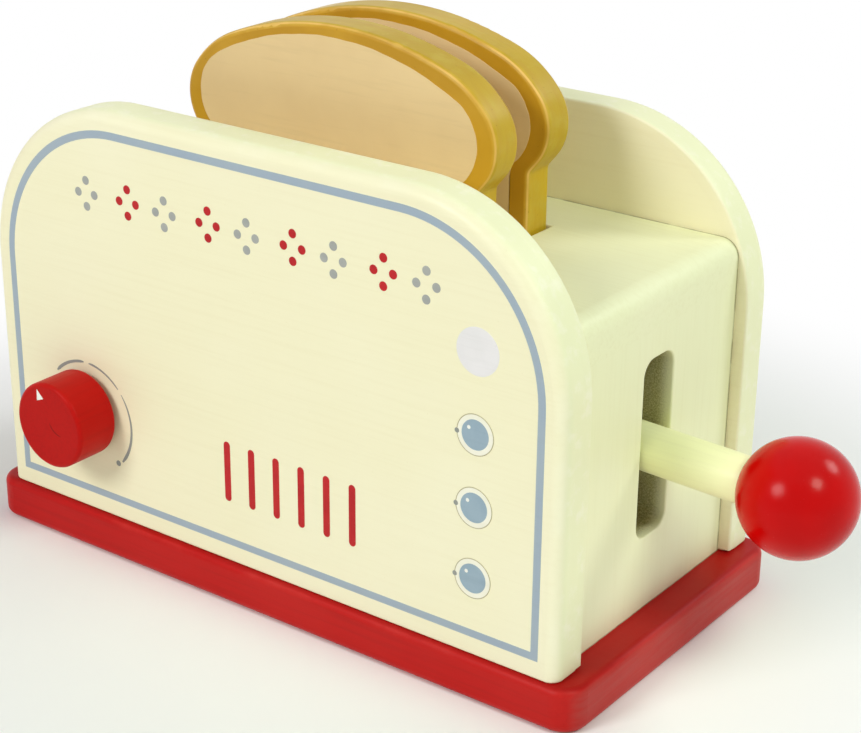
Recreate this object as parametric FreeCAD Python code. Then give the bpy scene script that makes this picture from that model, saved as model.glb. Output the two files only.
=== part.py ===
import FreeCAD, Part
import math
import os

# Wooden toy toaster. Millimetres, +Z up, front towards -Y, lever towards +X.
# The origin is the centre of the base board's underside.

# Base board
base_thick = 12.4
base_end_overhang = 6.0
base_side_overhang = 1.5
base_corner_r = 7.0
base_edge_r = 2.3

# Front and rear panels
panel_length = 190.0
panel_height = 118.2
panel_thick = 11.7
panel_corner_r = 47.4
panel_edge_r = 3.4
panel_foot_r = 0.8
body_depth = 97.8

# End boards and top board
end_board_thick = 12.0
end_board_inset = 3.5
top_board_thick = 12.0
top_board_level = 89.9
top_board_edge_r = 5.0

# Toast slices
slice_thick = 10.0
slice_pitch = 23.2
slice_shift = 1.0
slice_stem_width = 90.0
slice_crown_overhang = 5.8
slice_rise = 52.6
slice_crown_r = 96.0
slice_crown_shift = 1.3
slice_shoulder_r = 30.0
slice_cheek_r = 14.0
slice_cheek_ease = 1.8
slice_tuck_angle = 40.0
slice_neck_r = 2.5
slice_foot_r = 2.0
slice_edge_r = 1.4
toast_slot_side_gap = 0.5
toast_slot_end_gap = 1.0
toast_slot_edge_r = 0.6

# Carriage, which slides on the guide pegs
carriage_height = 20.0
carriage_depth = 48.0
carriage_end_gap = 1.5
carriage_edge_r = 1.0
groove_depth = 6.0
groove_gap = 0.3

# Guide pegs and springs
guide_peg_dia = 8.0
guide_peg_spacing = 106.0
guide_peg_seat = 8.0
guide_peg_gap = 0.3
spring_wire_dia = 1.2
spring_peg_gap = 1.0
spring_active_turns = 3
spring_closed_turns = 1
spring_closed_gap = 0.6
spring_seat_gap = 0.05

# Lever
lever_level = 45.4
lever_side = -0.7
lever_slope_angle = 2.1
rod_dia = 12.4
rod_seat_depth = 17.0
rod_tip_r = 0.8
ball_dia = 30.2
ball_reach = 40.0
ball_bore_past_centre = 3.0
ball_mouth_r = 0.6
lever_pin_dia = 4.0
lever_slot_width = 14.2
lever_slot_bottom = 20.9
lever_slot_top = 70.3
lever_slot_corner_r = 4.3
lever_slot_edge_r = 0.5

# Dial
dial_x = -61.75
dial_level = 30.9
knob_dia = 24.6
knob_reach = 14.9
knob_front_r = 1.2
knob_back_r = 1.2
dial_peg_dia = 8.0
dial_peg_seat = 8.0
dial_peg_gap = 0.3
dial_peg_tail = 1.5
dial_run_gap = 0.3
dial_washer_dia = 17.0
dial_washer_thick = 1.0
dial_collar_dia = 18.0
dial_collar_thick = 6.0
dial_collar_edge_r = 1.0

# Base screws
screw_dia = 4.0
screw_head_dia = 8.0
screw_length = 34.0
screw_head_sink = 0.3
panel_screw_spacing = 60.0
end_screw_y = 20.0

# How far a cutting tool reaches past the face that it opens
cut_over = 1.0

# Levels and faces that follow from the sizes above
base_top = base_thick
board_top = base_top + top_board_level
board_under = board_top - top_board_thick
half_length = panel_length / 2
half_depth = body_depth / 2
panel_inner_y = half_depth - panel_thick
panel_mid_y = half_depth - panel_thick / 2
end_outer_x = half_length - end_board_inset
end_inner_x = end_outer_x - end_board_thick
end_mid_x = end_outer_x - end_board_thick / 2
lever_z = base_top + lever_level
carriage_bottom = lever_z - carriage_height / 2
carriage_top = lever_z + carriage_height / 2
carriage_half_length = end_inner_x - carriage_end_gap
groove_floor = carriage_top - groove_depth
slice_top = board_top + slice_rise
slice_y = (-slice_pitch / 2, slice_pitch / 2)
guide_peg_x = (-guide_peg_spacing / 2, guide_peg_spacing / 2)
rod_start_x = carriage_half_length - rod_seat_depth
ball_x = end_outer_x + ball_reach
lever_pin_x = carriage_half_length - rod_seat_depth / 2
dial_z = base_top + dial_level
front_face_y = -half_depth
knob_face_y = front_face_y - knob_reach
knob_back_y = front_face_y - dial_washer_thick - dial_run_gap

X = FreeCAD.Vector(1, 0, 0)
Y = FreeCAD.Vector(0, 1, 0)
Z = FreeCAD.Vector(0, 0, 1)


def point(x, y, z):
    return FreeCAD.Vector(x, y, z)


def block(x_span, y_span, z_span):
    size = [high - low for low, high in (x_span, y_span, z_span)]
    return Part.makeBox(*size, point(x_span[0], y_span[0], z_span[0]))


def rod(diameter, length, start, direction):
    return Part.makeCylinder(diameter / 2, length, start, direction)


def edges_where(shape, test):
    return [edge for edge in shape.Edges if test(edge)]


def spans(edge, axis):
    """Length of an edge's box along one axis, given as 0, 1 or 2."""
    box = edge.BoundBox
    return (box.XLength, box.YLength, box.ZLength)[axis]


def lies_at(edge, axis, value):
    box = edge.BoundBox
    low = (box.XMin, box.YMin, box.ZMin)[axis]
    high = (box.XMax, box.YMax, box.ZMax)[axis]
    return abs(low - value) < 0.01 and abs(high - value) < 0.01


def rounded_block(x_span, y_span, z_span, edge_r):
    shape = block(x_span, y_span, z_span)
    return shape.makeFillet(edge_r, shape.Edges)


def revolved(points, start, direction):
    """Turned form: points are (distance along the axis, radius), first and last on the axis."""
    side = Z if abs(direction.dot(Z)) < 0.5 else X
    corners = [start + direction * along + side * radius for along, radius in points]
    profile = Part.Face(Part.makePolygon(corners + corners[:1]))
    return profile.revolve(start, direction, 360)


def joined(solids):
    return Part.makeCompound(solids)


def cut_all(shape, tools):
    return shape.cut(joined(tools))


# Screws and guide pegs, with the holes that they fill

def screw_places():
    places = [(x, side * panel_mid_y) for side in (-1, 1)
              for x in (-panel_screw_spacing, 0, panel_screw_spacing)]
    places += [(end * end_mid_x, side * end_screw_y) for end in (-1, 1) for side in (-1, 1)]
    return places


def screw_solid(x, y):
    """Countersunk screw that points up, its head sunk a little under the base board."""
    head_r = screw_head_dia / 2
    shank_r = screw_dia / 2
    cone = head_r - shank_r
    outline = [(0, 0), (0, head_r), (cone, shank_r), (screw_length - shank_r, shank_r), (screw_length, 0)]
    return revolved(outline, point(x, y, screw_head_sink), Z)


def screw_hole(x, y):
    """Space for one screw: the head's sink, its cone and the shank."""
    head_r = screw_head_dia / 2
    shank_r = screw_dia / 2
    cone = head_r - shank_r
    outline = [(0, 0), (0, head_r), (screw_head_sink, head_r), (screw_head_sink + cone, shank_r),
               (screw_head_sink + screw_length, shank_r), (screw_head_sink + screw_length, 0)]
    return revolved(outline, point(x, y, 0), Z)


def guide_peg(x):
    """Peg let into the base board, with its upper end under the top board."""
    low = base_top - guide_peg_seat
    return rod(guide_peg_dia, board_under - low, point(x, 0, low), Z)


# Body boards

def base_board():
    half_x = half_length + base_end_overhang
    half_y = half_depth + base_side_overhang
    board = block((-half_x, half_x), (-half_y, half_y), (0, base_thick))
    upright = edges_where(board, lambda edge: spans(edge, 2) > base_thick / 2)
    board = board.makeFillet(base_corner_r, upright)
    rims = edges_where(board, lambda edge: lies_at(edge, 2, 0) or lies_at(edge, 2, base_thick))
    board = board.makeFillet(base_edge_r, rims)
    holes = [screw_hole(x, y) for x, y in screw_places()] + [guide_peg(x) for x in guide_peg_x]
    return cut_all(board, holes)


def panel_outline(y):
    """Upright outline with square lower corners and large round upper ones."""
    r = panel_corner_r
    low = base_top
    high = base_top + panel_height
    lean = r * (1 - math.sqrt(0.5))
    left = -half_length
    right = half_length
    edges = [
        Part.LineSegment(point(left, y, low), point(right, y, low)),
        Part.LineSegment(point(right, y, low), point(right, y, high - r)),
        Part.Arc(point(right, y, high - r), point(right - lean, y, high - lean), point(right - r, y, high)),
        Part.LineSegment(point(right - r, y, high), point(left + r, y, high)),
        Part.Arc(point(left + r, y, high), point(left + lean, y, high - lean), point(left, y, high - r)),
        Part.LineSegment(point(left, y, high - r), point(left, y, low)),
    ]
    return Part.Face(Part.Wire([edge.toShape() for edge in edges]))


def panel(side):
    """Front panel for side -1, rear panel for side 1."""
    outer_y = side * half_depth
    inner_y = side * panel_inner_y
    solid = panel_outline(min(outer_y, inner_y)).extrude(Y * panel_thick)

    def is_rim(edge):
        on_face = lies_at(edge, 1, outer_y) or lies_at(edge, 1, inner_y)
        return on_face and not lies_at(edge, 2, base_top)

    solid = solid.makeFillet(panel_edge_r, edges_where(solid, is_rim))
    foot = edges_where(solid, lambda edge: lies_at(edge, 2, base_top))
    solid = solid.makeFillet(panel_foot_r, foot)
    return cut_all(solid, [screw_hole(x, y) for x, y in screw_places()])


def front_panel():
    start = point(dial_x, front_face_y - cut_over, dial_z)
    return panel(-1).cut(rod(dial_peg_dia + 2 * dial_peg_gap, body_depth / 2, start, Y))


def end_board(end):
    """Left board for end -1, right board for end 1."""
    faces = sorted((end * end_inner_x, end * end_outer_x))
    board = block(faces, (-panel_inner_y, panel_inner_y), (base_top, board_under))
    return cut_all(board, [screw_hole(x, y) for x, y in screw_places()])


def right_end_board():
    slot = block((end_inner_x - cut_over, end_outer_x + cut_over),
                 (lever_side - lever_slot_width / 2, lever_side + lever_slot_width / 2),
                 (base_top + lever_slot_bottom, base_top + lever_slot_top))
    corners = edges_where(slot, lambda edge: spans(edge, 0) > end_board_thick / 2)
    slot = slot.makeFillet(lever_slot_corner_r, corners)
    board = end_board(1).cut(slot)

    def is_slot_rim(edge):
        box = edge.BoundBox
        near = abs(box.YMin + box.YMax - 2 * lever_side) < lever_slot_width + 0.01
        inside = box.YMin > lever_side - lever_slot_width and box.YMax < lever_side + lever_slot_width
        return lies_at(edge, 0, end_outer_x) and near and inside

    return board.makeFillet(lever_slot_edge_r, edges_where(board, is_slot_rim))


def top_board():
    board = block((-end_outer_x, end_outer_x), (-panel_inner_y, panel_inner_y), (board_under, board_top))
    ends = edges_where(board, lambda edge: lies_at(edge, 2, board_top) and spans(edge, 1) > 1)
    board = board.makeFillet(top_board_edge_r, ends)
    for y in slice_y:
        board = board.cut(toast_slot(y))
    rims = edges_where(board, lambda edge: lies_at(edge, 2, board_top)
                       and abs(edge.BoundBox.Center.y) < panel_inner_y - cut_over
                       and abs(edge.BoundBox.Center.x) < end_inner_x)
    return board.makeFillet(toast_slot_edge_r, rims)


def toast_slot(y):
    half_x = slice_stem_width / 2 + toast_slot_end_gap
    half_y = slice_thick / 2 + toast_slot_side_gap
    return block((slice_shift - half_x, slice_shift + half_x), (y - half_y, y + half_y),
                 (board_under - cut_over, board_top + cut_over))


# Toast slices

def slice_side(side):
    """Places down one side of a slice: the crown's end, then its shoulder, cheek, tuck, neck and foot.

    The crown's arc has its top beside the slice's middle, so one shoulder sits a little lower.
    """
    stem = slice_stem_width / 2
    tuck = math.radians(slice_tuck_angle)
    crown_z = slice_top - slice_crown_r
    reach = slice_crown_r - slice_cheek_r - slice_cheek_ease
    cheek_x = side * (stem + slice_crown_overhang - slice_cheek_r)
    cheek_z = crown_z + math.sqrt(reach ** 2 - (cheek_x - slice_crown_shift) ** 2)
    to_shoulder = slice_crown_r - slice_shoulder_r
    to_cheek = slice_shoulder_r - slice_cheek_r
    lean = math.acos((to_shoulder ** 2 + reach ** 2 - to_cheek ** 2) / (2 * to_shoulder * reach))
    crown_end = math.atan2(cheek_z - crown_z, cheek_x - slice_crown_shift) + side * lean
    shoulder_x = slice_crown_shift + to_shoulder * math.cos(crown_end)
    shoulder_z = crown_z + to_shoulder * math.sin(crown_end)
    shoulder_end = math.atan2(cheek_z - shoulder_z, cheek_x - shoulder_x)
    cheek_end = -tuck if side > 0 else math.pi + tuck

    def shoulder(angle):
        reach = slice_shoulder_r
        return shoulder_x + reach * math.cos(angle), shoulder_z + reach * math.sin(angle)

    def cheek(angle):
        return cheek_x + slice_cheek_r * math.cos(angle), cheek_z + slice_cheek_r * math.sin(angle)

    tuck_x, tuck_z = cheek(cheek_end)
    neck_z = tuck_z - (abs(tuck_x) - stem) / math.tan(tuck)
    return [shoulder(crown_end), shoulder((crown_end + shoulder_end) / 2), shoulder(shoulder_end),
            cheek((shoulder_end + cheek_end) / 2), (tuck_x, tuck_z), (side * stem, neck_z),
            (side * stem, groove_floor)]


def slice_outline(y):
    """Bread outline: a straight stem, tucked necks, round cheeks and shoulders and a low arched crown."""
    def place(pair):
        return point(slice_shift + pair[0], y, pair[1])

    sides = []
    for side in (-1, 1):
        places = [place(pair) for pair in slice_side(side)]
        crown_end, shoulder, shoulder_end, cheek, tuck, neck, foot = places
        sides.append([Part.Arc(crown_end, shoulder, shoulder_end), Part.Arc(shoulder_end, cheek, tuck),
                      Part.LineSegment(tuck, neck), Part.LineSegment(neck, foot)])
    left, right = sides
    top = Part.Arc(left[0].StartPoint, place((slice_crown_shift, slice_top)), right[0].StartPoint)
    sole = Part.LineSegment(left[-1].EndPoint, right[-1].EndPoint)
    loop = [top] + right + [sole] + left[::-1]
    neck_levels = [side[-1].StartPoint.z for side in sides]
    return Part.Face(Part.Wire([edge.toShape() for edge in loop])), neck_levels


def toast_slice(y):
    face, neck_levels = slice_outline(y - slice_thick / 2)
    solid = face.extrude(Y * slice_thick)
    across = edges_where(solid, lambda edge: spans(edge, 1) > slice_thick / 2)
    necks = [edge for edge in across if any(lies_at(edge, 2, level) for level in neck_levels)]
    solid = solid.makeFillet(slice_neck_r, necks)
    across = edges_where(solid, lambda edge: spans(edge, 1) > slice_thick / 2)
    feet = [edge for edge in across if lies_at(edge, 2, groove_floor)]
    solid = solid.makeFillet(slice_foot_r, feet)
    rims = edges_where(solid, lambda edge: lies_at(edge, 1, y - slice_thick / 2)
                       or lies_at(edge, 1, y + slice_thick / 2))
    return solid.makeFillet(slice_edge_r, rims)


# Carriage, lever and springs

def lever_axis(x):
    """Place on the rod's axis, which slopes down from the pin in the carriage to the ball."""
    fall = (x - lever_pin_x) * math.tan(math.radians(lever_slope_angle))
    return point(x, lever_side, lever_z - fall)


def lever_rod_blank():
    start = lever_axis(rod_start_x)
    reach = lever_axis(ball_x + ball_bore_past_centre) - start
    return rod(rod_dia, reach.Length, start, reach)


def lever_pin():
    return rod(lever_pin_dia, carriage_height, point(lever_pin_x, lever_side, carriage_bottom), Z)


def carriage():
    half_y = carriage_depth / 2
    solid = rounded_block((-carriage_half_length, carriage_half_length), (-half_y, half_y),
                          (carriage_bottom, carriage_top), carriage_edge_r)
    groove_x = slice_stem_width / 2 + groove_gap
    groove_y = slice_thick / 2 + groove_gap
    cuts = [block((slice_shift - groove_x, slice_shift + groove_x), (y - groove_y, y + groove_y),
                  (groove_floor, carriage_top + cut_over)) for y in slice_y]
    cuts += [rod(guide_peg_dia + 2 * guide_peg_gap, carriage_height + 2 * cut_over,
                 point(x, 0, carriage_bottom - cut_over), Z) for x in guide_peg_x]
    return cut_all(solid, cuts + [lever_rod_blank(), lever_pin()])


def lever_rod():
    blank = lever_rod_blank()
    inner_end = edges_where(blank, lambda edge: edge.BoundBox.XMax < lever_pin_x)
    return blank.makeChamfer(rod_tip_r, inner_end).cut(lever_pin())


def lever_ball():
    centre = lever_axis(ball_x)
    ball = Part.makeSphere(ball_dia / 2, centre, centre - lever_axis(rod_start_x))
    ball = ball.cut(lever_rod_blank())
    mouth = edges_where(ball, lambda edge: edge.BoundBox.XMax < ball_x
                        and abs(spans(edge, 1) - rod_dia) < 0.1 and abs(spans(edge, 2) - rod_dia) < 0.1)
    return ball.makeChamfer(ball_mouth_r, mouth)


def biarc(start, start_way, end, end_way):
    """Two arcs from start to end that meet smoothly and leave along the two given directions."""
    chord = end - start
    ways = start_way + end_way
    spread = 2 * (1 - start_way.dot(end_way))
    along = chord.dot(ways)
    reach = (math.sqrt(along ** 2 + spread * chord.dot(chord)) - along) / spread
    first = start + start_way * reach
    second = end - end_way * reach
    middle = (first + second) * 0.5
    half_turn = start_way.getAngle(middle - first) / 2
    weight = math.cos(half_turn)

    def crest(a, corner, b):
        return (a + b + corner * (2 * weight)) * (1 / (2 + 2 * weight))

    return [Part.Arc(start, crest(start, first, middle), middle),
            Part.Arc(middle, crest(middle, second, end), end)]


def spring_rise(half, closed_pitch, active_pitch):
    """Height gained and slope per turn after a number of half turns."""
    turns = half / 2
    total = spring_active_turns + 2 * spring_closed_turns
    lower = min(turns, spring_closed_turns)
    upper = max(0, turns - (total - spring_closed_turns))
    active = turns - lower - upper
    height = (lower + upper) * closed_pitch + active * active_pitch
    at_change = turns in (spring_closed_turns, total - spring_closed_turns)
    is_active = spring_closed_turns < turns < total - spring_closed_turns
    slope = (closed_pitch + active_pitch) / 2 if at_change else active_pitch if is_active else closed_pitch
    return height, slope


def lift_spring(x):
    """Compression spring with closed end turns, one unbroken wire round its guide peg."""
    coil_r = guide_peg_dia / 2 + spring_peg_gap + spring_wire_dia / 2
    low = base_top + spring_seat_gap + spring_wire_dia / 2
    height = carriage_bottom - spring_seat_gap - spring_wire_dia / 2 - low
    closed_pitch = spring_wire_dia + spring_closed_gap
    active_pitch = (height - 2 * spring_closed_turns * closed_pitch) / spring_active_turns
    halves = 2 * (spring_active_turns + 2 * spring_closed_turns)
    knots = []
    for half in range(halves + 1):
        angle = half * math.pi
        rise, slope = spring_rise(half, closed_pitch, active_pitch)
        spot = point(x + coil_r * math.cos(angle), coil_r * math.sin(angle), low + rise)
        way = point(-coil_r * math.sin(angle), coil_r * math.cos(angle), slope / (2 * math.pi)).normalize()
        knots.append((spot, way))
    arcs = []
    for (start, start_way), (end, end_way) in zip(knots, knots[1:]):
        arcs += biarc(start, start_way, end, end_way)
    path = Part.Wire([arc.toShape() for arc in arcs])
    ring = Part.Wire([Part.Circle(knots[0][0], knots[0][1], spring_wire_dia / 2).toShape()])
    return path.makePipeShell([ring], True, False), arcs


def least_gap(arcs):
    """Smallest clear distance between neighbouring turns, measured on points of the wire's path."""
    steps = 12
    points = []
    for arc in arcs:
        first = arc.FirstParameter
        stride = (arc.LastParameter - first) / steps
        points += [arc.value(first + stride * step) for step in range(steps)]
    per_turn = 4 * steps
    nearest = min(a.distanceToPoint(b) for index, a in enumerate(points)
                  for b in points[index + per_turn // 2:])
    return nearest - spring_wire_dia


# Dial

def dial_peg():
    tail = panel_thick + dial_run_gap + dial_collar_thick + dial_peg_tail
    start = knob_back_y - dial_peg_seat
    return rod(dial_peg_dia, front_face_y + tail - start, point(dial_x, start, dial_z), Y)


def dial_knob():
    """Turned knob with rounded rims."""
    knob = rod(knob_dia, knob_back_y - knob_face_y, point(dial_x, knob_face_y, dial_z), Y)
    knob = knob.makeFillet(knob_front_r, edges_where(knob, lambda edge: lies_at(edge, 1, knob_face_y)))
    knob = knob.makeFillet(knob_back_r, edges_where(knob, lambda edge: lies_at(edge, 1, knob_back_y)))
    return knob.cut(dial_peg())


def dial_washer():
    start = point(dial_x, front_face_y - dial_washer_thick, dial_z)
    ring = rod(dial_washer_dia, dial_washer_thick, start, Y)
    return ring.cut(rod(dial_peg_dia + 2 * dial_peg_gap, dial_washer_thick, start, Y))


def dial_collar():
    near_y = -panel_inner_y + dial_run_gap
    far_y = near_y + dial_collar_thick
    ring = rod(dial_collar_dia, dial_collar_thick, point(dial_x, near_y, dial_z), Y)
    ring = ring.makeChamfer(dial_collar_edge_r, edges_where(ring, lambda edge: lies_at(edge, 1, far_y)))
    return ring.cut(dial_peg())


parts = {
    "base_board": base_board(),
    "front_panel": front_panel(),
    "rear_panel": panel(1),
    "left_end_board": end_board(-1),
    "right_end_board": right_end_board(),
    "top_board": top_board(),
    "base_screws": joined([screw_solid(x, y) for x, y in screw_places()]),
    "guide_peg_left": guide_peg(guide_peg_x[0]),
    "guide_peg_right": guide_peg(guide_peg_x[1]),
    "carriage": carriage(),
    "lever_rod": lever_rod(),
    "lever_pin": lever_pin(),
    "lever_ball": lever_ball(),
    "toast_front": toast_slice(slice_y[0]),
    "toast_rear": toast_slice(slice_y[1]),
    "dial_knob": dial_knob(),
    "dial_peg": dial_peg(),
    "dial_washer": dial_washer(),
    "dial_collar": dial_collar(),
}

for name, x in zip(("lift_spring_left", "lift_spring_right"), guide_peg_x):
    parts[name], spring_path = lift_spring(x)
    print(name, "least gap between turns", round(least_gap(spring_path), 3), "mm")

for name, shape in parts.items():
    shape.exportStep(f"parts/{name}.step")
    print(name, len(shape.Solids), "solid", round(shape.Volume / 1000, 2), "cm3", shape.isValid())
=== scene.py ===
import math

import bmesh
import bpy
from mathutils import Matrix, Vector


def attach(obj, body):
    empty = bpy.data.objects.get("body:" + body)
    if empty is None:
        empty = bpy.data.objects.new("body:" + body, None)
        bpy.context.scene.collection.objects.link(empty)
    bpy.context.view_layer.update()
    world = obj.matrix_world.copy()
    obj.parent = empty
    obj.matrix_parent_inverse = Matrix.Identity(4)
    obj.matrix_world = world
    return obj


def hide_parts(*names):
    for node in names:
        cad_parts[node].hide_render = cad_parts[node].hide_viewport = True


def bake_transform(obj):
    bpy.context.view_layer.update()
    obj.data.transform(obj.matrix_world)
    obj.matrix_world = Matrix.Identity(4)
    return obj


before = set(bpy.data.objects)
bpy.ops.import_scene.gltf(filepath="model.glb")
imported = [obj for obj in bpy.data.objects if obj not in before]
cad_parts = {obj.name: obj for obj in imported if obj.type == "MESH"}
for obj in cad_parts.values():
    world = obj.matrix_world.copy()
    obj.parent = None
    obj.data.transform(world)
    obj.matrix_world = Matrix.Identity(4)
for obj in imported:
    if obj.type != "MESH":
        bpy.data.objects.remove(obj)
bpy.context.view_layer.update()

MM = 0.001

# Places of the frame that the dressing needs, in millimetres

base_top = 12.4
front_face = -48.9
panel_half_length = 95.0
panel_top = 130.6
panel_corner_r = 47.4
panel_edge_r = 3.4
panel_inner = 37.2
slice_y = (-11.6, 11.6)
slice_half_thick = 5.0
knob_face = -63.8
carriage_under = 47.8
guide_peg_x = (-53.0, 53.0)
slot_fade_x = (86.8, 91.6)
slot_y = (-8.2, 6.8)
slot_z = (32.9, 83.1)

# How far prints and painted films stand out and reach into the wood, and how far their rim slopes in

film_out = 0.07
film_in = 0.05
film_soft = 0.04


# Mesh helpers

def new_object(name, bm):
    """Object made of a bmesh given in millimetres."""
    bmesh.ops.scale(bm, vec=(MM, MM, MM), verts=bm.verts)
    bmesh.ops.recalc_face_normals(bm, faces=bm.faces)
    mesh = bpy.data.meshes.new(name)
    bm.to_mesh(mesh)
    bm.free()
    obj = bpy.data.objects.new(name, mesh)
    bpy.context.scene.collection.objects.link(obj)
    return obj


def dress(obj, material, body):
    """Gives a new piece its material and its body."""
    obj.data.materials.clear()
    obj.data.materials.append(material)
    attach(obj, body)


def shrunk(loop, by):
    """Closed outline moved inwards, for the soft edge of a film."""
    area = sum(a[0] * b[1] - b[0] * a[1] for a, b in zip(loop, loop[1:] + loop[:1]))
    turn = 1 if area > 0 else -1
    moved = []
    for index, spot in enumerate(loop):
        before = loop[index - 1]
        after = loop[(index + 1) % len(loop)]
        way = Vector((after[0] - before[0], after[1] - before[1])).normalized()
        moved.append((spot[0] - turn * way.y * by, spot[1] + turn * way.x * by))
    return moved


def add_film(bm, outer, inner, level, side):
    """Thin closed skin on the face y = level that looks to the given side; inner is a hole or None."""
    def ring(loop, y):
        return [bm.verts.new((x, y, z)) for x, z in loop]

    def wall(low, high):
        for index in range(len(low)):
            after = (index + 1) % len(low)
            bm.faces.new((low[index], low[after], high[after], high[index]))

    low_y, mid_y, top_y = (level + side * reach for reach in (-film_in, film_out * 0.5, film_out))
    low, mid, top = ring(outer, low_y), ring(outer, mid_y), ring(shrunk(outer, film_soft), top_y)
    wall(low, mid)
    wall(mid, top)
    if inner is None:
        for loop in (low, top):
            bmesh.ops.triangulate(bm, faces=[bm.faces.new(loop)])
        return
    hole_low, hole_mid = ring(inner, low_y), ring(inner, mid_y)
    hole_top = ring(shrunk(inner, -film_soft), top_y)
    wall(hole_low, hole_mid)
    wall(hole_mid, hole_top)
    wall(low, hole_low)
    wall(top, hole_top)


def add_band(bm, stations, level, side):
    """Thin closed skin along a line; each station is a pair of places across it."""
    low_y, top_y = level - side * film_in, level + side * film_out
    rings = [[bm.verts.new((x, y, z)) for (x, z), y in ((a, low_y), (a, top_y), (b, top_y), (b, low_y))]
             for a, b in stations]
    for near, far in zip(rings, rings[1:]):
        for k in range(4):
            after = (k + 1) % 4
            bm.faces.new((near[k], near[after], far[after], far[k]))
    bm.faces.new(rings[0])
    bm.faces.new(rings[-1])


def film_piece(name, shapes, level, side):
    """Piece of films on one face; each shape is (outer, inner or None) or the stations of a band."""
    bm = bmesh.new()
    for shape in shapes:
        if isinstance(shape, tuple):
            add_film(bm, *shape, level, side)
        else:
            add_band(bm, shape, level, side)
    return new_object(name, bm)


def circle(x, z, r, count):
    return [(x + r * math.cos(math.tau * i / count), z + r * math.sin(math.tau * i / count))
            for i in range(count)]


def arc_points(x, z, r, start, end, count):
    """Points from one angle to another, in degrees."""
    angles = [math.radians(start + (end - start) * i / count) for i in range(count + 1)]
    return [(x + r * math.cos(a), z + r * math.sin(a)) for a in angles]


def capsule(x, z_low, z_high, width):
    """Upright bar with round ends."""
    r = width / 2
    return arc_points(x, z_high - r, r, 0, 180, 12) + arc_points(x, z_low + r, r, 180, 360, 12)


band_steps = 40


def band(x, z, r, start, end, width_start, width_end):
    """Stations of an arc-shaped line whose width changes from one end to the other."""
    stations = []
    for i in range(band_steps + 1):
        share = i / band_steps
        half = (width_start + (width_end - width_start) * share) / 2
        half *= min(1, 0.45 + 6 * min(share, 1 - share))
        a = math.radians(start + (end - start) * share)
        stations.append([(x + reach * math.cos(a), z + reach * math.sin(a))
                         for reach in (r + half, r - half)])
    return stations


wire_sides = 14
wire_dome = 0.35


def tube(name, path, radius):
    """Round wire with domed ends along a path in millimetres that turns about an upright axis."""
    bm = bmesh.new()
    rings = []
    for index, spot in enumerate(path):
        before = path[max(index - 1, 0)]
        after = path[min(index + 1, len(path) - 1)]
        way = (after - before).normalized()
        across = way.cross(Vector((0, 0, 1))).normalized()
        up = across.cross(way)
        rings.append([bm.verts.new(spot + radius * (math.cos(t) * across + math.sin(t) * up))
                      for t in (math.tau * k / wire_sides for k in range(wire_sides))])
    for low, high in zip(rings, rings[1:]):
        for k in range(wire_sides):
            after = (k + 1) % wire_sides
            bm.faces.new((low[k], low[after], high[after], high[k]))
    ends = ((rings[0], path[0], path[0] - path[1]), (rings[-1], path[-1], path[-1] - path[-2]))
    for ring, spot, step in ends:
        tip = bm.verts.new(spot + step.normalized() * radius * wire_dome)
        for k in range(wire_sides):
            bm.faces.new((ring[k], ring[(k + 1) % wire_sides], tip))
    return new_object(name, bm)


def shade_smooth(obj):
    for face in obj.data.polygons:
        face.use_smooth = True


# Material helpers

# Sum of the two parts of a normal at 45 degrees, less 1
edge_peak = 0.4142


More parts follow.
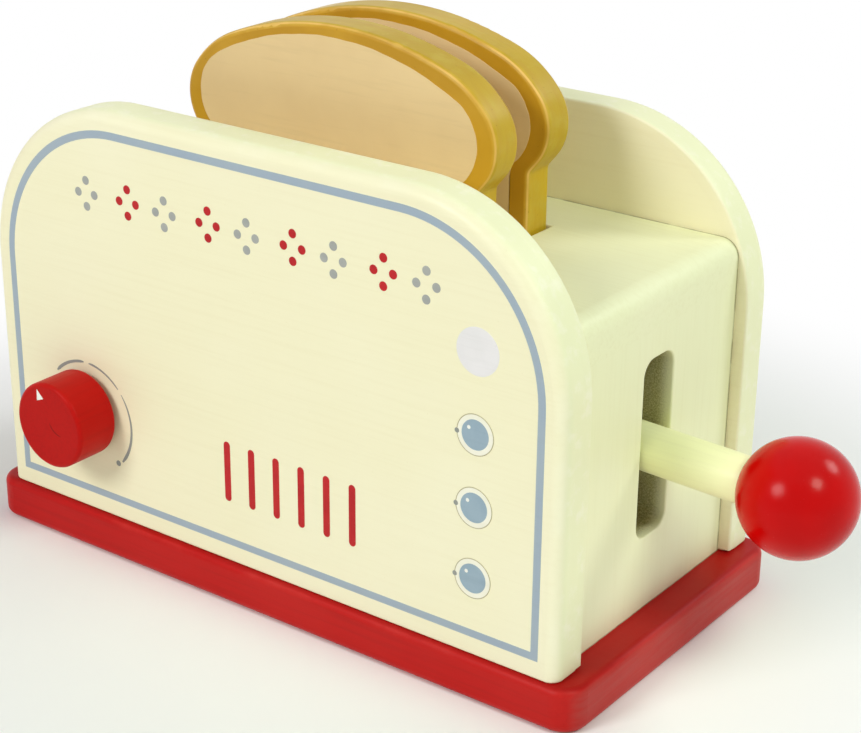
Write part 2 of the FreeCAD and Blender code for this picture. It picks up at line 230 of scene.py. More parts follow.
class Recipe:
    """Node tree of one material, built up call by call."""

    def __init__(self, name):
        self.material = bpy.data.materials.new(name)
        self.material.use_nodes = True
        self.tree = self.material.node_tree
        self.tree.nodes.clear()
        self.out = self.tree.nodes.new("ShaderNodeOutputMaterial")
        self.shader = self.tree.nodes.new("ShaderNodeBsdfPrincipled")
        self.tree.links.new(self.shader.outputs[0], self.out.inputs[0])
        self.place = self.tree.nodes.new("ShaderNodeTexCoord").outputs

    def link(self, value, socket):
        """Puts a node's output, or a plain value, on a socket."""
        if isinstance(value, bpy.types.NodeSocket):
            self.tree.links.new(value, socket)
        elif value is not None:
            socket.default_value = value

    def math(self, how, a, b=None, clamp=False):
        node = self.tree.nodes.new("ShaderNodeMath")
        node.operation = how
        node.use_clamp = clamp
        for value, socket in zip((a, b), node.inputs):
            self.link(value, socket)
        return node.outputs[0]

    def times(self, a, b):
        return self.math("MULTIPLY", a, b)

    def split(self, vector):
        node = self.tree.nodes.new("ShaderNodeSeparateXYZ")
        self.link(vector, node.inputs[0])
        return node.outputs

    def stretched(self, scale):
        """Object coordinates in metres, scaled along each axis."""
        node = self.tree.nodes.new("ShaderNodeMapping")
        self.link(self.place["Object"], node.inputs["Vector"])
        node.inputs["Scale"].default_value = scale
        return node.outputs[0]

    def noise(self, scale, vector=None, detail=3.0, roughness=0.55, distortion=0.0):
        node = self.tree.nodes.new("ShaderNodeTexNoise")
        self.link(vector or self.place["Object"], node.inputs["Vector"])
        node.inputs["Scale"].default_value = scale
        node.inputs["Detail"].default_value = detail
        node.inputs["Roughness"].default_value = roughness
        node.inputs["Distortion"].default_value = distortion
        return node.outputs[0]

    def cells(self, scale):
        """Distance to the nearest of scattered points."""
        node = self.tree.nodes.new("ShaderNodeTexVoronoi")
        self.link(self.place["Object"], node.inputs["Vector"])
        node.inputs["Scale"].default_value = scale
        return node.outputs["Distance"]

    def ranged(self, value, low, high, to_low=0.0, to_high=1.0):
        """Maps a value from one range to another, held at its ends."""
        node = self.tree.nodes.new("ShaderNodeMapRange")
        node.interpolation_type = "SMOOTHSTEP"
        self.link(value, node.inputs["Value"])
        node.inputs["From Min"].default_value = low
        node.inputs["From Max"].default_value = high
        node.inputs["To Min"].default_value = to_low
        node.inputs["To Max"].default_value = to_high
        return node.outputs[0]

    def mix(self, share, a, b):
        """Colour between a and b."""
        node = self.tree.nodes.new("ShaderNodeMix")
        node.data_type = "RGBA"
        self.link(share, node.inputs["Factor"])
        colours = [socket for socket in node.inputs if socket.type == "RGBA"]
        self.link(a if isinstance(a, bpy.types.NodeSocket) else (*a, 1), colours[0])
        self.link(b if isinstance(b, bpy.types.NodeSocket) else (*b, 1), colours[1])
        return next(socket for socket in node.outputs if socket.type == "RGBA")

    def colour(self, value):
        self.link(value, self.shader.inputs["Base Color"])

    def rough(self, value):
        self.link(value, self.shader.inputs["Roughness"])

    def paint(self):
        """Colour that the shader has so far."""
        return self.shader.inputs["Base Color"].links[0].from_socket

    def bump(self, height, depth, strength, under=None):
        """Adds relief of the given depth in metres; returns the bent normal."""
        node = self.tree.nodes.new("ShaderNodeBump")
        node.inputs["Distance"].default_value = depth
        node.inputs["Strength"].default_value = strength
        self.link(height, node.inputs["Height"])
        if under is not None:
            self.link(under, node.inputs["Normal"])
        self.link(node.outputs[0], self.shader.inputs["Normal"])
        return node.outputs[0]

    def set(self, **values):
        """Fixed numbers on the shader's own sockets, such as coat_weight."""
        for name, value in values.items():
            self.shader.inputs[name.replace("_", " ").title().replace("Ior", "IOR")].default_value = value

    def edge(self, axis):
        """0 on flat faces, 1 in the middle of a rounded edge between the faces of an axis and the rest."""
        along = self.math("ABSOLUTE", self.split(self.place["Normal"])[axis])
        rest = self.math("SQRT", self.math("SUBTRACT", 1.0, self.times(along, along), clamp=True))
        over = self.math("SUBTRACT", self.math("ADD", along, rest), 1.0, clamp=True)
        return self.math("DIVIDE", over, edge_peak, clamp=True)

    def within(self, value, low, high, blur=0.0002):
        """1 where a coordinate lies between two levels."""
        above = self.ranged(value, low - blur, low + blur)
        below = self.ranged(value, high - blur, high + blur, 1.0, 0.0)
        return self.times(above, below)


def srgb(r, g, b):
    """Linear colour of an 8-bit display colour."""
    def lin(c):
        c /= 255
        return c / 12.92 if c <= 0.04045 else ((c + 0.055) / 1.055) ** 2.4
    return lin(r), lin(g), lin(b)


def painted_wood(name, base, dark, light, grain, axis, gloss=0.4, grain_share=0.14, wear=0.25, shine=0.25):
    """Satin paint over wood: grain shows through faintly, rounded edges are a little worn."""
    recipe = Recipe(name)
    fibres = recipe.noise(1.0, recipe.stretched(grain), detail=4, roughness=0.6)
    cloud = recipe.noise(14.0, detail=2)
    grained = recipe.mix(recipe.ranged(fibres, 0.42, 0.72, 0.0, grain_share), base, dark)
    clouded = recipe.mix(recipe.ranged(cloud, 0.35, 0.75, 0.0, 0.3), grained, light)
    patchy = recipe.ranged(recipe.noise(70.0, detail=5), 0.45, 0.7)
    rubbed = recipe.times(recipe.edge(axis), patchy)
    edge_toned = recipe.mix(recipe.times(rubbed, wear), clouded, light)
    speck = recipe.ranged(recipe.cells(260.0), 0.03, 0.07, 0.2, 0.0)
    recipe.colour(recipe.mix(speck, edge_toned, dark))
    smear = recipe.noise(22.0, detail=4)
    recipe.rough(recipe.ranged(smear, 0.3, 0.7, gloss - 0.06, gloss + 0.1))
    relief = recipe.bump(fibres, 0.00003, 0.4)
    recipe.bump(recipe.noise(620.0, detail=3), 0.00004, 0.4, relief)
    recipe.set(specular_ior_level=shine)
    return recipe


# Materials

cream = srgb(246, 240, 203)
cream_dark = srgb(231, 221, 176)
cream_light = srgb(251, 247, 222)
# Darker, greener copies of the same cream paint: painted shade for the boards between the panels and the
# panel rims
shaded_cream = srgb(241, 241, 199)
shaded_dark_cream = srgb(224, 220, 170)

along_x = (26.0, 900.0, 900.0)
along_y = (900.0, 26.0, 900.0)
along_z = (700.0, 700.0, 26.0)

# Shade at the joints of the boards, and how far from a joint it begins and is full, in millimetres

joint_shade = srgb(128, 118, 66)
joint_reach = 1.0
joint_full = 0.12
foot_reach = 0.5
foot_full = 0.15


def board_paint(name, grain, axis, foot_z=None, **changes):
    """Paint of a board between the panels in the shaded cream, which is painted shade, with more painted
    shade softly at its joints with them and thinly at its foot.
    """
    recipe = painted_wood(name, shaded_cream, shaded_dark_cream, cream_light, grain, axis, **changes)
    x, y, z = recipe.split(recipe.place["Object"])
    paint = recipe.paint()
    broken = recipe.ranged(recipe.noise(160.0, detail=3), 0.35, 0.6, 0.45, 0.85)
    near = recipe.ranged(recipe.math("ABSOLUTE", y),
                         (panel_inner - joint_reach) * MM, (panel_inner - joint_full) * MM)
    paint = recipe.mix(recipe.times(near, broken), paint, joint_shade)
    if foot_z is not None:
        near = recipe.ranged(z, (foot_z + foot_full) * MM, (foot_z + foot_reach) * MM, 1.0, 0.0)
        paint = recipe.mix(recipe.times(near, broken), paint, joint_shade)
    recipe.colour(paint)
    return recipe


def panel_material():
    """Panel paint, with painted shade on the rim and mottled over its end grain."""
    recipe = painted_wood("panel_cream", cream, cream_dark, cream_light, along_x, 1)
    paint = recipe.paint()
    facing = recipe.math("ABSOLUTE", recipe.split(recipe.place["Normal"])[1])
    rim = recipe.ranged(facing, 0.15, 0.75, 1.0, 0.0)
    # Painted shade: the rim faces are toned towards the shaded cream
    toned = recipe.mix(recipe.times(rim, 0.85), paint, shaded_cream)
    patches = recipe.ranged(recipe.noise(240.0, detail=5, roughness=0.65), 0.5, 0.68, 0.0, 0.5)
    recipe.colour(recipe.mix(recipe.times(rim, patches), toned, cream_light))
    return recipe


panel_paint = panel_material()
top_paint = board_paint("top_board_cream", along_x, 1, grain_share=0.22)
rod_paint = painted_wood("rod_cream", srgb(251, 252, 192), shaded_dark_cream, cream_light, along_x, 0)
end_paint = board_paint("end_board_cream", along_z, 0, base_top)


def slotted_end_material():
    """End board paint, with the raw speckled wood that shows inside the lever slot."""
    recipe = board_paint("slotted_end_cream", along_z, 0, base_top)
    x, y, z = recipe.split(recipe.place["Object"])
    deep = recipe.ranged(x, slot_fade_x[0] * MM, slot_fade_x[1] * MM, 1.0, 0.0)
    across = recipe.within(y, slot_y[0] * MM, slot_y[1] * MM)
    upright = recipe.within(z, slot_z[0] * MM, slot_z[1] * MM)
    mask = recipe.times(deep, recipe.times(across, upright))
    paint = recipe.paint()
    fibres = recipe.noise(2200.0, detail=3, roughness=0.7)
    raw = recipe.mix(recipe.ranged(fibres, 0.35, 0.65), srgb(146, 140, 92), srgb(194, 188, 138))
    recipe.colour(recipe.mix(mask, paint, raw))
    return recipe.material


def base_material():
    """Red paint of the base board: paler and streaky on the end faces, partly worn end grain and partly
    painted sheen, and darker on the top face as painted shade.
    """
    recipe = painted_wood("base_red", srgb(189, 18, 16), srgb(150, 9, 8), srgb(200, 50, 44), along_x, 2,
                          gloss=0.38, grain_share=0.3, wear=0.7, shine=0.13)
    paint = recipe.paint()
    normal = recipe.split(recipe.place["Normal"])
    # Paler streaky red on the end faces: partly worn end grain, partly painted sheen
    end_face = recipe.ranged(recipe.math("ABSOLUTE", normal[0]), 0.6, 0.95)
    streaks = recipe.noise(1.0, recipe.stretched((300.0, 60.0, 900.0)), detail=4)
    share = recipe.times(end_face, recipe.ranged(streaks, 0.3, 0.7, 0.35, 0.75))
    streaked = recipe.mix(share, paint, srgb(184, 68, 62))
    # Painted shade: the top face is darkened
    top_face_shade = recipe.ranged(normal[2], 0.6, 0.95, 0.0, 0.75)
    recipe.colour(recipe.mix(top_face_shade, streaked, srgb(160, 9, 6)))
    return recipe.material


scratch_x, scratch_z, scratch_r = -57.0, 46.0, 4.65
scratch_half = 0.18
scratch_blur = 0.12


def knob_material():
    """Red paint of the knob, with the short curved scratch in its face."""
    recipe = painted_wood("knob_red", srgb(182, 8, 4), srgb(146, 6, 4), srgb(196, 28, 18), along_y, 1,
                          gloss=0.36, grain_share=0.3, wear=0.6, shine=0.1)
    paint = recipe.paint()
    x, y, z = recipe.split(recipe.place["Object"])
    off_x = recipe.math("SUBTRACT", x, scratch_x * MM)
    off_z = recipe.math("SUBTRACT", z, scratch_z * MM)
    squares = recipe.math("ADD", recipe.times(off_x, off_x), recipe.times(off_z, off_z))
    line = recipe.within(recipe.math("SQRT", squares), (scratch_r - scratch_half) * MM,
                         (scratch_r + scratch_half) * MM, scratch_blur * MM)
    left = recipe.ranged(off_x, -0.0012, 0.0002, 1.0, 0.0)
    low = recipe.ranged(off_z, -0.0026, -0.0012, 1.0, 0.0)
    front = recipe.ranged(y, (knob_face + 0.4) * MM, (knob_face + 0.5) * MM, 1.0, 0.0)
    share = recipe.times(recipe.times(line, left), recipe.times(low, front))
    recipe.colour(recipe.mix(recipe.times(share, 0.75), paint, srgb(96, 6, 4)))
    return recipe.material


def ball_material():
    """Deep red gloss lacquer with a faint orange peel."""
    recipe = Recipe("ball_gloss")
    cloud = recipe.noise(60.0, detail=2)
    recipe.colour(recipe.mix(recipe.ranged(cloud, 0.3, 0.7), srgb(204, 0, 0), srgb(192, 0, 0)))
    dust = recipe.ranged(recipe.cells(420.0), 0.04, 0.12, 0.3, 0.2)
    recipe.rough(dust)
    recipe.bump(recipe.noise(1400.0, detail=3), 0.00005, 0.5)
    recipe.set(specular_ior_level=0.13)
    return recipe.material


def bread_material():
    """Crust paint of the slices: orange ochre faces, yellower mottled edges, worn rounded corners with a
    thin painted highlight along their crest.
    """
    recipe = Recipe("bread_crust")
    brush = recipe.noise(1.0, recipe.stretched((60.0, 500.0, 60.0)), detail=4)
    cloud = recipe.noise(38.0, detail=3)
    facing = recipe.math("ABSOLUTE", recipe.split(recipe.place["Normal"])[1])
    edge_side = recipe.ranged(facing, 0.3, 0.8, 1.0, 0.0)
    face = recipe.mix(recipe.ranged(cloud, 0.35, 0.7), srgb(210, 161, 41), srgb(194, 145, 30))
    side = recipe.mix(recipe.ranged(cloud, 0.35, 0.7), srgb(204, 168, 36), srgb(187, 155, 24))
    patches = recipe.ranged(recipe.noise(150.0, detail=5, roughness=0.7), 0.48, 0.66, 0.0, 0.45)
    mottled = recipe.mix(patches, side, srgb(200, 176, 64))
    toned = recipe.mix(edge_side, face, mottled)
    brushed = recipe.mix(recipe.ranged(brush, 0.35, 0.7, 0.0, 0.3), toned, srgb(186, 136, 14))
    rubbed = recipe.times(recipe.edge(1), recipe.ranged(recipe.noise(90.0, detail=4), 0.42, 0.66))
    edge_toned = recipe.mix(recipe.times(rubbed, 0.4), brushed, srgb(232, 192, 84))
    # Painted highlight: a thin bright line along the crest of the rounded corners
    crest_highlight = recipe.times(recipe.ranged(recipe.edge(1), 0.88, 0.99),
                         recipe.ranged(recipe.noise(60.0, detail=3), 0.35, 0.65, 0.25, 0.9))
    edge_toned = recipe.mix(crest_highlight, edge_toned, srgb(244, 200, 112))
    speck = recipe.ranged(recipe.cells(330.0), 0.03, 0.1, 0.35, 0.0)
    recipe.colour(recipe.mix(speck, edge_toned, srgb(146, 100, 16)))
    recipe.rough(recipe.ranged(cloud, 0.3, 0.7, 0.3, 0.42))
    relief = recipe.bump(brush, 0.00005, 0.5)
    recipe.bump(recipe.noise(520.0, detail=3), 0.00008, 0.6, relief)
    recipe.set(specular_ior_level=0.3)
    return recipe.material


def film_material(name, base, other, scale=45.0, gloss=0.42):
    """Printed or brushed film: a little uneven in tone, with a faint grain."""
    recipe = Recipe(name)
    cloud = recipe.noise(scale, detail=4)
    grain = recipe.noise(1.0, recipe.stretched((40.0, 700.0, 700.0)), detail=3)
    toned = recipe.mix(recipe.ranged(cloud, 0.35, 0.7), base, other)
    darker = tuple(0.86 * c for c in other)
    recipe.colour(recipe.mix(recipe.ranged(grain, 0.5, 0.75, 0.0, 0.25), toned, darker))
    recipe.rough(recipe.ranged(cloud, 0.3, 0.7, gloss - 0.06, gloss + 0.08))
    recipe.bump(recipe.noise(640.0, detail=3), 0.00003, 0.4)
    recipe.set(specular_ior_level=0.25)
    return recipe.material


def wood_material(name, base, dark, grain):
    """Sanded bare wood with fine fibres and pores."""
    recipe = Recipe(name)
    fibres = recipe.noise(1.0, recipe.stretched(grain), detail=5, roughness=0.65, distortion=0.3)
    rings = recipe.noise(1.0, recipe.stretched(tuple(0.22 * g for g in grain)), detail=2)
    toned = recipe.mix(recipe.ranged(rings, 0.35, 0.7), base, dark)
    darker = tuple(0.6 * c for c in dark)
    recipe.colour(recipe.mix(recipe.ranged(fibres, 0.5, 0.75, 0.0, 0.6), toned, darker))
    recipe.rough(recipe.ranged(fibres, 0.3, 0.7, 0.55, 0.72))
    recipe.bump(fibres, 0.00008, 0.6)
    return recipe.material


def steel_material(name, tone, grain, gloss):
    """Drawn or plated steel with fine marks along it."""
    recipe = Recipe(name)
    marks = recipe.noise(1.0, recipe.stretched(grain), detail=4)
    recipe.colour(recipe.mix(recipe.ranged(marks, 0.35, 0.65), tone, tuple(0.8 * c for c in tone)))
    recipe.rough(recipe.ranged(marks, 0.3, 0.7, gloss - 0.06, gloss + 0.1))
    recipe.bump(marks, 0.00002, 0.4)
    recipe.set(metallic=1.0)
    return recipe.material


wood_light, wood_dark = srgb(214, 180, 132), srgb(190, 150, 100)
wood_x = wood_material("wood_along_x", wood_light, wood_dark, along_x)
wood_y = wood_material("wood_along_y", wood_light, wood_dark, along_y)
wood_z = wood_material("wood_along_z", wood_light, wood_dark, along_z)
spring_steel = steel_material("spring_wire", (0.56, 0.56, 0.57), (900.0, 900.0, 120.0), 0.28)
zinc_steel = steel_material("zinc_screws", (0.70, 0.70, 0.72), (600.0, 600.0, 600.0), 0.34)

node_materials = {
    "base_board": base_material(),
    "front_panel": panel_paint.material,
    "rear_panel": panel_paint.material,
    "left_end_board": end_paint.material,
    "right_end_board": slotted_end_material(),
    "top_board": top_paint.material,
    "guide_peg_left": wood_z,
    "guide_peg_right": wood_z,
    "carriage": wood_x,
    "lever_rod": rod_paint.material,
    "lever_pin": wood_z,
    "lever_ball": ball_material(),
    "dial_knob": knob_material(),
    "dial_peg": wood_y,
    "dial_washer": wood_x,
    "dial_collar": wood_y,
}
bread = bread_material()
node_materials["toast_front"] = bread
node_materials["toast_rear"] = bread
for node, material in node_materials.items():
    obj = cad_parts[node]
    obj.data.materials.clear()
    obj.data.materials.append(material)


# Crisp inner edges of the panels, painted square up to a thin rounding

arris_r = 0.7
arris_overlap = 0.4
arris_sunk = 0.05
arris_back = 1.6
arris_foot = base_top + 0.8


def panel_edge(inset):
    """Outline of a panel from foot to foot over the top, moved inwards by the inset."""
    half, r = panel_half_length - inset, panel_corner_r - inset
    across, level = panel_half_length - panel_corner_r, panel_top - panel_corner_r
    corners = arc_points(across, level, r, 0, 90, 60) + arc_points(-across, level, r, 90, 180, 60)
    return [(half, arris_foot)] + corners + [(-half, arris_foot)]


def arris_piece(name, side):
    """Strip that fills the rounded inner edge; its section is given as inset and depth into the panel."""
    quarter = [math.radians(15 * k) for k in range(7)]
    rounding = [(arris_r - arris_r * math.sin(a), arris_r - arris_r * math.cos(a)) for a in quarter]
    tail = panel_edge_r + arris_overlap
    section = [(tail, arris_sunk), (panel_edge_r, 0.0)] + rounding
    section += [(0.0, panel_edge_r), (arris_sunk, tail), (arris_back, arris_back)]
    bm = bmesh.new()
    rails = [[bm.verts.new((x, side * (panel_inner + depth), z)) for x, z in panel_edge(inset)]
             for inset, depth in section]
    for low, high in zip(rails, rails[1:] + rails[:1]):
        for index in range(len(low) - 1):
            bm.faces.new((low[index], low[index + 1], high[index + 1], high[index]))
    for end in (0, -1):
        bm.faces.new([rail[end] for rail in rails])
    obj = new_object(name, bm)
    shade_smooth(obj)
    obj.data.set_sharp_from_angle(angle=math.radians(30))
    dress(obj, panel_paint.material, "case")


arris_piece("front_panel_arris", -1)
arris_piece("rear_panel_arris", 1)


# Prints on the front panel

border_middle = 0.2
border_half_length = 88.35
border_low = 18.55
border_high = 124.4
border_corner_r = 41.5
border_width = 2.1


def border_loop(offset):
    """Outline of the panel's painted line, moved outwards by the offset."""
    half = border_half_length + offset
    r = border_corner_r + offset
    low, high = border_low - offset, border_high + offset
    return (arc_points(border_middle + half - r, high - r, r, 0, 90, 28)
            + arc_points(border_middle + r - half, high - r, r, 90, 180, 28)
            + [(border_middle - half, low), (border_middle + half, low)])


print_blue = film_material("print_blue_grey", srgb(160, 175, 189), srgb(166, 179, 188))
print_grey = film_material("print_grey", srgb(172, 173, 167), srgb(161, 163, 159), 120.0)
print_red = film_material("print_red", srgb(194, 26, 32), srgb(180, 22, 30), 120.0)
print_line = film_material("print_dial_grey", srgb(146, 150, 142), srgb(154, 156, 148), 120.0)
print_ring = film_material("print_ring_tan", srgb(182, 172, 132), srgb(190, 181, 142), 120.0)
print_ground = film_material("print_ring_ground", srgb(247, 244, 226), srgb(243, 240, 220), 120.0)
print_white = film_material("print_white", srgb(246, 246, 236), srgb(238, 238, 228), 120.0)
print_button = film_material("print_button_blue", srgb(156, 177, 190), srgb(147, 169, 184), 120.0)
label_film = film_material("label_white", srgb(238, 234, 234), srgb(232, 229, 228), 80.0, 0.3)
tan_film = film_material("bread_tan", srgb(238, 210, 158), srgb(232, 203, 151), 30.0, 0.45)


def print_piece(name, shapes, material, level=front_face, body="case", side=-1):
    """New film piece with its material and its body."""
    dress(film_piece(name, shapes, level, side), material, body)


half_line = border_width / 2
print_piece("print_border", [(border_loop(half_line), border_loop(-half_line))], print_blue)


dot_r = 1.22
dot_reach_x = 2.95
dot_reach_z = 3.6
grey_dot_x = (-57.3, -29.2, -1.0, 27.0, 55.1)
grey_dot_z = 106.95
red_dot_x = (-42.2, -14.0, 14.1, 42.3)
red_dot_z = 107.35


def four_dots(x, z):
    """Motif of four dots set as a diamond."""
    spots = ((-dot_reach_x, 0), (dot_reach_x, 0), (0, -dot_reach_z), (0, dot_reach_z))
    return [(circle(x + dx, z + dz, dot_r, 24), None) for dx, dz in spots]


print_piece("print_grey_dots", [dot for x in grey_dot_x for dot in four_dots(x, grey_dot_z)], print_grey)
print_piece("print_red_dots", [dot for x in red_dot_x for dot in four_dots(x, red_dot_z)], print_red)

bar_x = [-9.9 + 8.45 * i for i in range(6)]
bar_low, bar_high = 30.6, 48.0
bar_width = 2.2
print_piece("print_red_bars", [(capsule(x, bar_low, bar_high, bar_width), None) for x in bar_x], print_red)

button_x = 69.9
button_z = (72.5, 53.2, 33.9)
ring_r = 5.45
ring_line = 0.24
disc_r = 3.95
over_print = front_face - 0.03
tick_shift, tick_r = (-5.3, -0.15), 0.68
glint_shift, glint_r = (-1.85, 1.6), 0.52


def button_rings(outer_r, inner_r):
    """The same ring round each drawn button."""
    return [(circle(button_x, z, outer_r, 56), circle(button_x, z, inner_r, 56)) for z in button_z]


def button_dots(shift, r, count):
    """The same dot on each drawn button, moved from its middle by the shift."""
    return [(circle(button_x + shift[0], z + shift[1], r, count), None) for z in button_z]


print_piece("print_button_rings", button_rings(ring_r, ring_r - ring_line), print_ring)
print_piece("print_button_grounds", button_rings(ring_r - ring_line, disc_r), print_ground)
print_piece("print_button_discs", button_dots((0, 0), disc_r, 48), print_button)
print_piece("print_button_marks", button_dots(tick_shift, tick_r, 20), print_line, level=over_print)
print_piece("print_button_glints", button_dots(glint_shift, glint_r, 20), print_white, level=over_print)

label_x, label_z, label_r = 70.2, 93.9, 6.15
print_piece("label_blank", [(circle(label_x, label_z, label_r, 64), None)], label_film)

# Arcs round the knob, each with its two angles in degrees and its two widths, and the dot below them

mark_x, mark_z, mark_r = -61.2, 41.25, 16.1
mark_arcs = ((137, 94, 0.95, 0.75), (87, 43.5, 0.65, 0.38), (37.5, -41.5, 0.32, 1.05))
mark_dot = (-50.8, 29.7, 0.85)
mark_shapes = [band(mark_x, mark_z, mark_r, *arc) for arc in mark_arcs] + [(circle(*mark_dot, 20), None)]
print_piece("print_dial_marks", mark_shapes, print_line)

# Tan faces of the slices

tan_top = 151.6
tan_crown_r = 82.0
tan_half_width = 45.5
tan_shoulder_r = 12.6
tan_shoulder_z = 130.7
tan_stem_half = 39.6
tan_foot = 65.6
tan_foot_cut = 2.0
tan_neck = ((0.0, 116.5), (0.15, 118.2), (0.5, 119.4))
tan_tuck = 1.2
tan_middle_x = 0.6
tan_middle_z = 110


def tan_loop():
    """Outline of the paler face of a slice, from its right foot over the crown to its left foot."""
    inner = tan_half_width - tan_shoulder_r
    crown_z = tan_top - tan_crown_r
    lean = math.degrees(math.atan2(tan_shoulder_z - crown_z, inner))
    tuck = math.degrees(math.acos((tan_stem_half + tan_tuck - inner) / tan_shoulder_r))
    right = [(tan_stem_half - tan_foot_cut, tan_foot), (tan_stem_half, tan_foot + tan_foot_cut)]
    right += [(tan_stem_half + out, z) for out, z in tan_neck]
    right += arc_points(inner, tan_shoulder_z, tan_shoulder_r, -tuck, lean, 44)
    right += arc_points(0, crown_z, tan_crown_r, lean, 90, 52)[1:]
    left = [(-x, z) for x, z in right[-2::-1]]
    loop = right + left
    wave = [0.06 * math.sin(0.31 * i) + 0.03 * math.sin(0.83 * i + 1.1) for i in range(len(loop))]
    wobbled = []
    for (x, z), push in zip(loop, wave):
        far = math.hypot(x, z - tan_middle_z)
        wobbled.append((tan_middle_x + x * (1 + push / far), z + (z - tan_middle_z) * push / far))
    return wobbled


for label, y in zip(("front", "rear"), slice_y):
    for face, side in (("a", -1), ("b", 1)):
        print_piece(f"toast_{label}_tan_{face}", [(tan_loop(), None)], tan_film,
                    level=y + side * slice_half_thick, body=f"toast_{label}", side=side)

# Pointer on the knob

pointer = [(-65.45, 53.4), (-65.65, 50.0), (-63.15, 51.0)]
print_piece("knob_pointer", [(pointer, None)], print_white, level=knob_face, body="dial")

# Springs round the guide pegs

coil_r = 5.6
wire_r = 0.6
closed_pitch = 1.8
spring_gap = 0.05
spring_low = base_top + spring_gap + wire_r
spring_high = carriage_under - spring_gap - wire_r
active_turns = 3
steps_per_turn = 48
opening_from = 0.8
opening_turns = 0.4


def spring_path(x):
    """Wire of a compression spring with a closed turn at each end and eased changes of pitch."""
    height = spring_high - spring_low
    active_pitch = (height - 2 * closed_pitch) / active_turns
    turns = active_turns + 2
    path = []
    rise = 0.0
    for step in range(turns * steps_per_turn + 1):
        turn = step / steps_per_turn
        if step:
            open_share = min(1, max(0, min(turn, turns - turn) - opening_from) / opening_turns)
            eased = open_share * open_share * (3 - 2 * open_share)
            rise += (closed_pitch + (active_pitch - closed_pitch) * eased) / steps_per_turn
        angle = math.tau * turn
        path.append(Vector((x + coil_r * math.cos(angle), coil_r * math.sin(angle), rise)))
    for spot in path:
        spot.z = spring_low + spot.z * height / rise
    return path


for label, x in zip(("left", "right"), guide_peg_x):
    spring = tube(f"spring_wire_{label}", spring_path(x), wire_r)
    shade_smooth(spring)
    spring.data.materials.append(spring_steel)
    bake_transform(spring)
    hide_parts(f"lift_spring_{label}")

# Screws with cross recesses under the base

screw_head_r = 4.0
screw_shank_r = 2.0
screw_sink = 0.3
screw_long = 34.0
recess_reach = 2.1
recess_half = 0.55
recess_depth = 1.6
screw_sides = 48
screw_spots = [(x, y) for y in (-43.05, 43.05) for x in (-60.0, 0.0, 60.0)]
screw_spots += [(x, y) for x in (-85.5, 85.5) for y in (-20.0, 20.0)]


def cross_reach(angle, reach, half):
    """Distance from the middle of a cross to its outline."""
    c, s = abs(math.cos(angle)), abs(math.sin(angle))
    first = min(reach / max(c, 1e-6), half / max(s, 1e-6))
    second = min(reach / max(s, 1e-6), half / max(c, 1e-6))
    return max(first, second)


def add_screw(bm, x, y, turn):
    """One countersunk screw, head down, turned about its axis."""
    angles = [math.tau * k / screw_sides + turn for k in range(screw_sides)]

    def ring(z, reach):
        return [bm.verts.new((x + reach(a) * math.cos(a), y + reach(a) * math.sin(a), z)) for a in angles]

    def join(low, high):
        for k in range(screw_sides):
            after = (k + 1) % screw_sides
            bm.faces.new((low[k], low[after], high[after], high[k]))

    # From the bottom of the recess over the head and up the shank
    loops = [
        ring(screw_sink + recess_depth, lambda a: cross_reach(a - turn, 0.9, 0.35)),
        ring(screw_sink + 0.1, lambda a: cross_reach(a - turn, recess_reach, recess_half)),
        ring(screw_sink, lambda a: cross_reach(a - turn, recess_reach + 0.12, recess_half + 0.12)),
        ring(screw_sink, lambda a: screw_head_r - 0.25),
        ring(screw_sink + 0.08, lambda a: screw_head_r - 0.05),
        ring(screw_sink + 0.2, lambda a: screw_head_r - 0.1),
        ring(screw_sink + screw_head_r - screw_shank_r, lambda a: screw_shank_r),
        ring(screw_sink + screw_long - screw_shank_r, lambda a: screw_shank_r),
        ring(screw_sink + screw_long - 0.4, lambda a: 0.35),
    ]
    for low, high in zip(loops, loops[1:]):
        join(low, high)
    for loop, z in ((loops[0], screw_sink + recess_depth + 0.15), (loops[-1], screw_sink + screw_long)):
        tip = bm.verts.new((x, y, z))
        for k in range(screw_sides):
            bm.faces.new((loop[k], loop[(k + 1) % screw_sides], tip))


screws = bmesh.new()
for index, (x, y) in enumerate(screw_spots):
    add_screw(screws, x, y, 0.7 * index)
screw_piece = new_object("screws_cross_recess", screws)
dress(screw_piece, zinc_steel, "case")
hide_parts("base_screws")

# Floor, world, lights and camera, in metres; the floor lies just below the underside of the base

floor_half = 3.0
floor_level = -0.0001
fade_start, fade_end = 0.11, 0.25
floor_corners = [(sx * floor_half, sy * floor_half, floor_level)
                 for sx, sy in ((-1, -1), (1, -1), (1, 1), (-1, 1))]
floor_mesh = bpy.data.meshes.new("floor")
floor_mesh.from_pydata(floor_corners, [], [(0, 1, 2, 3)])
floor = bpy.data.objects.new("floor", floor_mesh)
bpy.context.scene.collection.objects.link(floor)


def seen_light(tree):
    """1 for rays from the camera and for rays that gloss or glass sends on."""
    path = tree.nodes.new("ShaderNodeLightPath")
    first = tree.nodes.new("ShaderNodeMath")
    second = tree.nodes.new("ShaderNodeMath")
    for node in (first, second):
        node.operation = "MAXIMUM"
    tree.links.new(path.outputs["Is Camera Ray"], first.inputs[0])
    tree.links.new(path.outputs["Is Glossy Ray"], first.inputs[1])
    tree.links.new(first.outputs[0], second.inputs[0])
    tree.links.new(path.outputs["Is Transmission Ray"], second.inputs[1])
    return second.outputs[0]


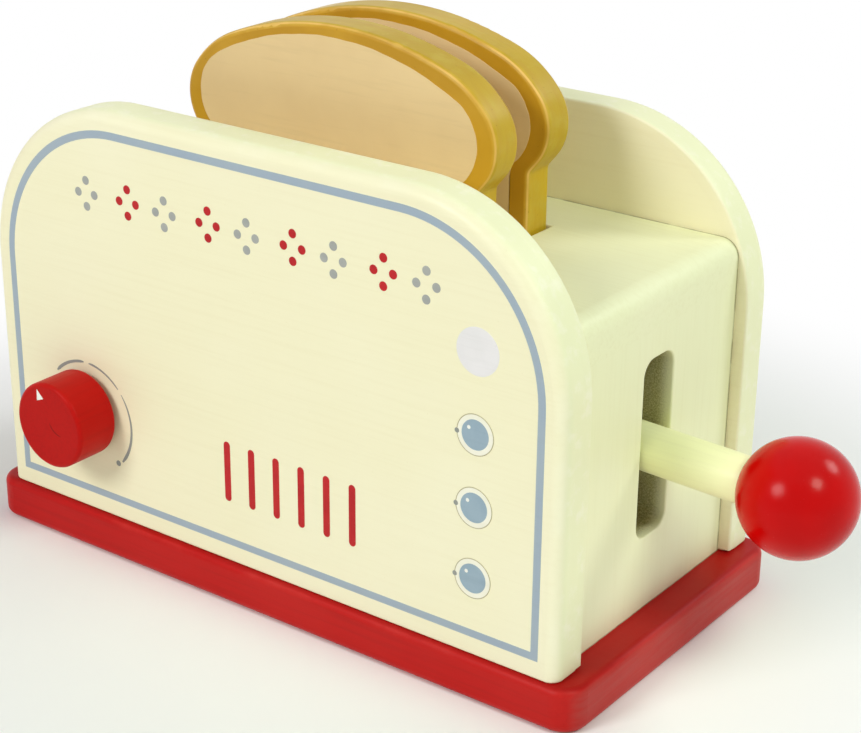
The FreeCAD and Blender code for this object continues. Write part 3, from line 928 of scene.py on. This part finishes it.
floor_recipe = Recipe("floor_white")
floor_recipe.colour(floor_recipe.mix(floor_recipe.noise(3.0), (0.93, 0.93, 0.92), (0.95, 0.95, 0.94)))
floor_recipe.set(roughness=0.9, specular_ior_level=0.1)
glow = floor_recipe.tree.nodes.new("ShaderNodeEmission")
glow.inputs["Color"].default_value = (1, 1, 1, 1)
away = floor_recipe.tree.nodes.new("ShaderNodeVectorMath")
away.operation = "LENGTH"
floor_recipe.link(floor_recipe.place["Object"], away.inputs[0])
far = floor_recipe.ranged(away.outputs["Value"], fade_start, fade_end)
blend_share = floor_recipe.times(far, seen_light(floor_recipe.tree))
blend_node = floor_recipe.tree.nodes.new("ShaderNodeMixShader")
floor_recipe.link(blend_share, blend_node.inputs[0])
floor_recipe.link(floor_recipe.shader.outputs[0], blend_node.inputs[1])
floor_recipe.link(glow.outputs[0], blend_node.inputs[2])
floor_recipe.link(blend_node.outputs[0], floor_recipe.out.inputs[0])
floor_mesh.materials.append(floor_recipe.material)

ambient = 0.25
world = bpy.data.worlds.new("studio")
world.use_nodes = True
bpy.context.scene.world = world
background = world.node_tree.nodes["Background"]
background.inputs["Color"].default_value = (1, 1, 1, 1)
level = world.node_tree.nodes.new("ShaderNodeMapRange")
level.inputs["To Min"].default_value = ambient
level.inputs["To Max"].default_value = 1.0
world.node_tree.links.new(seen_light(world.node_tree), level.inputs["Value"])
world.node_tree.links.new(level.outputs[0], background.inputs["Strength"])

studio_centre = Vector((0.02, 0.0, 0.06))


def soft_box(name, azimuth, elevation, distance, size, level_there, colour=(1, 1, 1)):
    """Round soft light; level_there is how bright a white surface facing it becomes at the object."""
    a, e = math.radians(azimuth), math.radians(elevation)
    way = Vector((math.sin(a) * math.cos(e), -math.cos(a) * math.cos(e), math.sin(e)))
    data = bpy.data.lights.new(name, "AREA")
    data.shape = "DISK"
    data.size = size
    data.color = colour
    data.energy = level_there * math.pi ** 2 * distance ** 2
    lamp = bpy.data.objects.new(name, data)
    lamp.location = studio_centre + way * distance
    lamp.rotation_mode = "QUATERNION"
    lamp.rotation_quaternion = (-way).to_track_quat("-Z", "Y")
    bpy.context.scene.collection.objects.link(lamp)


soft_box("key_light", azimuth=-15, elevation=31.5, distance=1.3, size=0.5, level_there=0.43)
soft_box("side_light", azimuth=76, elevation=44, distance=1.3, size=0.4, level_there=0.345,
         colour=(0.85, 1.0, 0.88))
soft_box("rim_light", azimuth=140, elevation=38, distance=1.4, size=0.44, level_there=0.26,
         colour=(0.97, 1.0, 0.97))
soft_box("top_light", azimuth=0, elevation=86, distance=1.6, size=2.4, level_there=0.15)

camera_place = Vector((0.31838, -0.40378, 0.27234))
camera_aim = Vector((0.044786, -0.032967, 0.078320))
camera_roll = math.radians(0.576)

forward = (camera_aim - camera_place).normalized()
level_right = forward.cross(Vector((0, 0, 1))).normalized()
level_up = level_right.cross(forward)
right = math.cos(camera_roll) * level_right + math.sin(camera_roll) * level_up
up = math.cos(camera_roll) * level_up - math.sin(camera_roll) * level_right
camera_data = bpy.data.cameras.new("camera")
camera_data.lens = 84.14
camera_data.sensor_width = 36.0
camera_data.sensor_fit = "HORIZONTAL"
camera_data.clip_start = 0.01
camera_data.clip_end = 20.0
camera = bpy.data.objects.new("camera", camera_data)
turned = Matrix((right, up, -forward)).transposed().to_4x4()
turned.translation = camera_place
camera.matrix_world = turned
bpy.context.scene.collection.objects.link(camera)
bpy.context.scene.camera = camera

bpy.context.scene.view_settings.view_transform = "Standard"
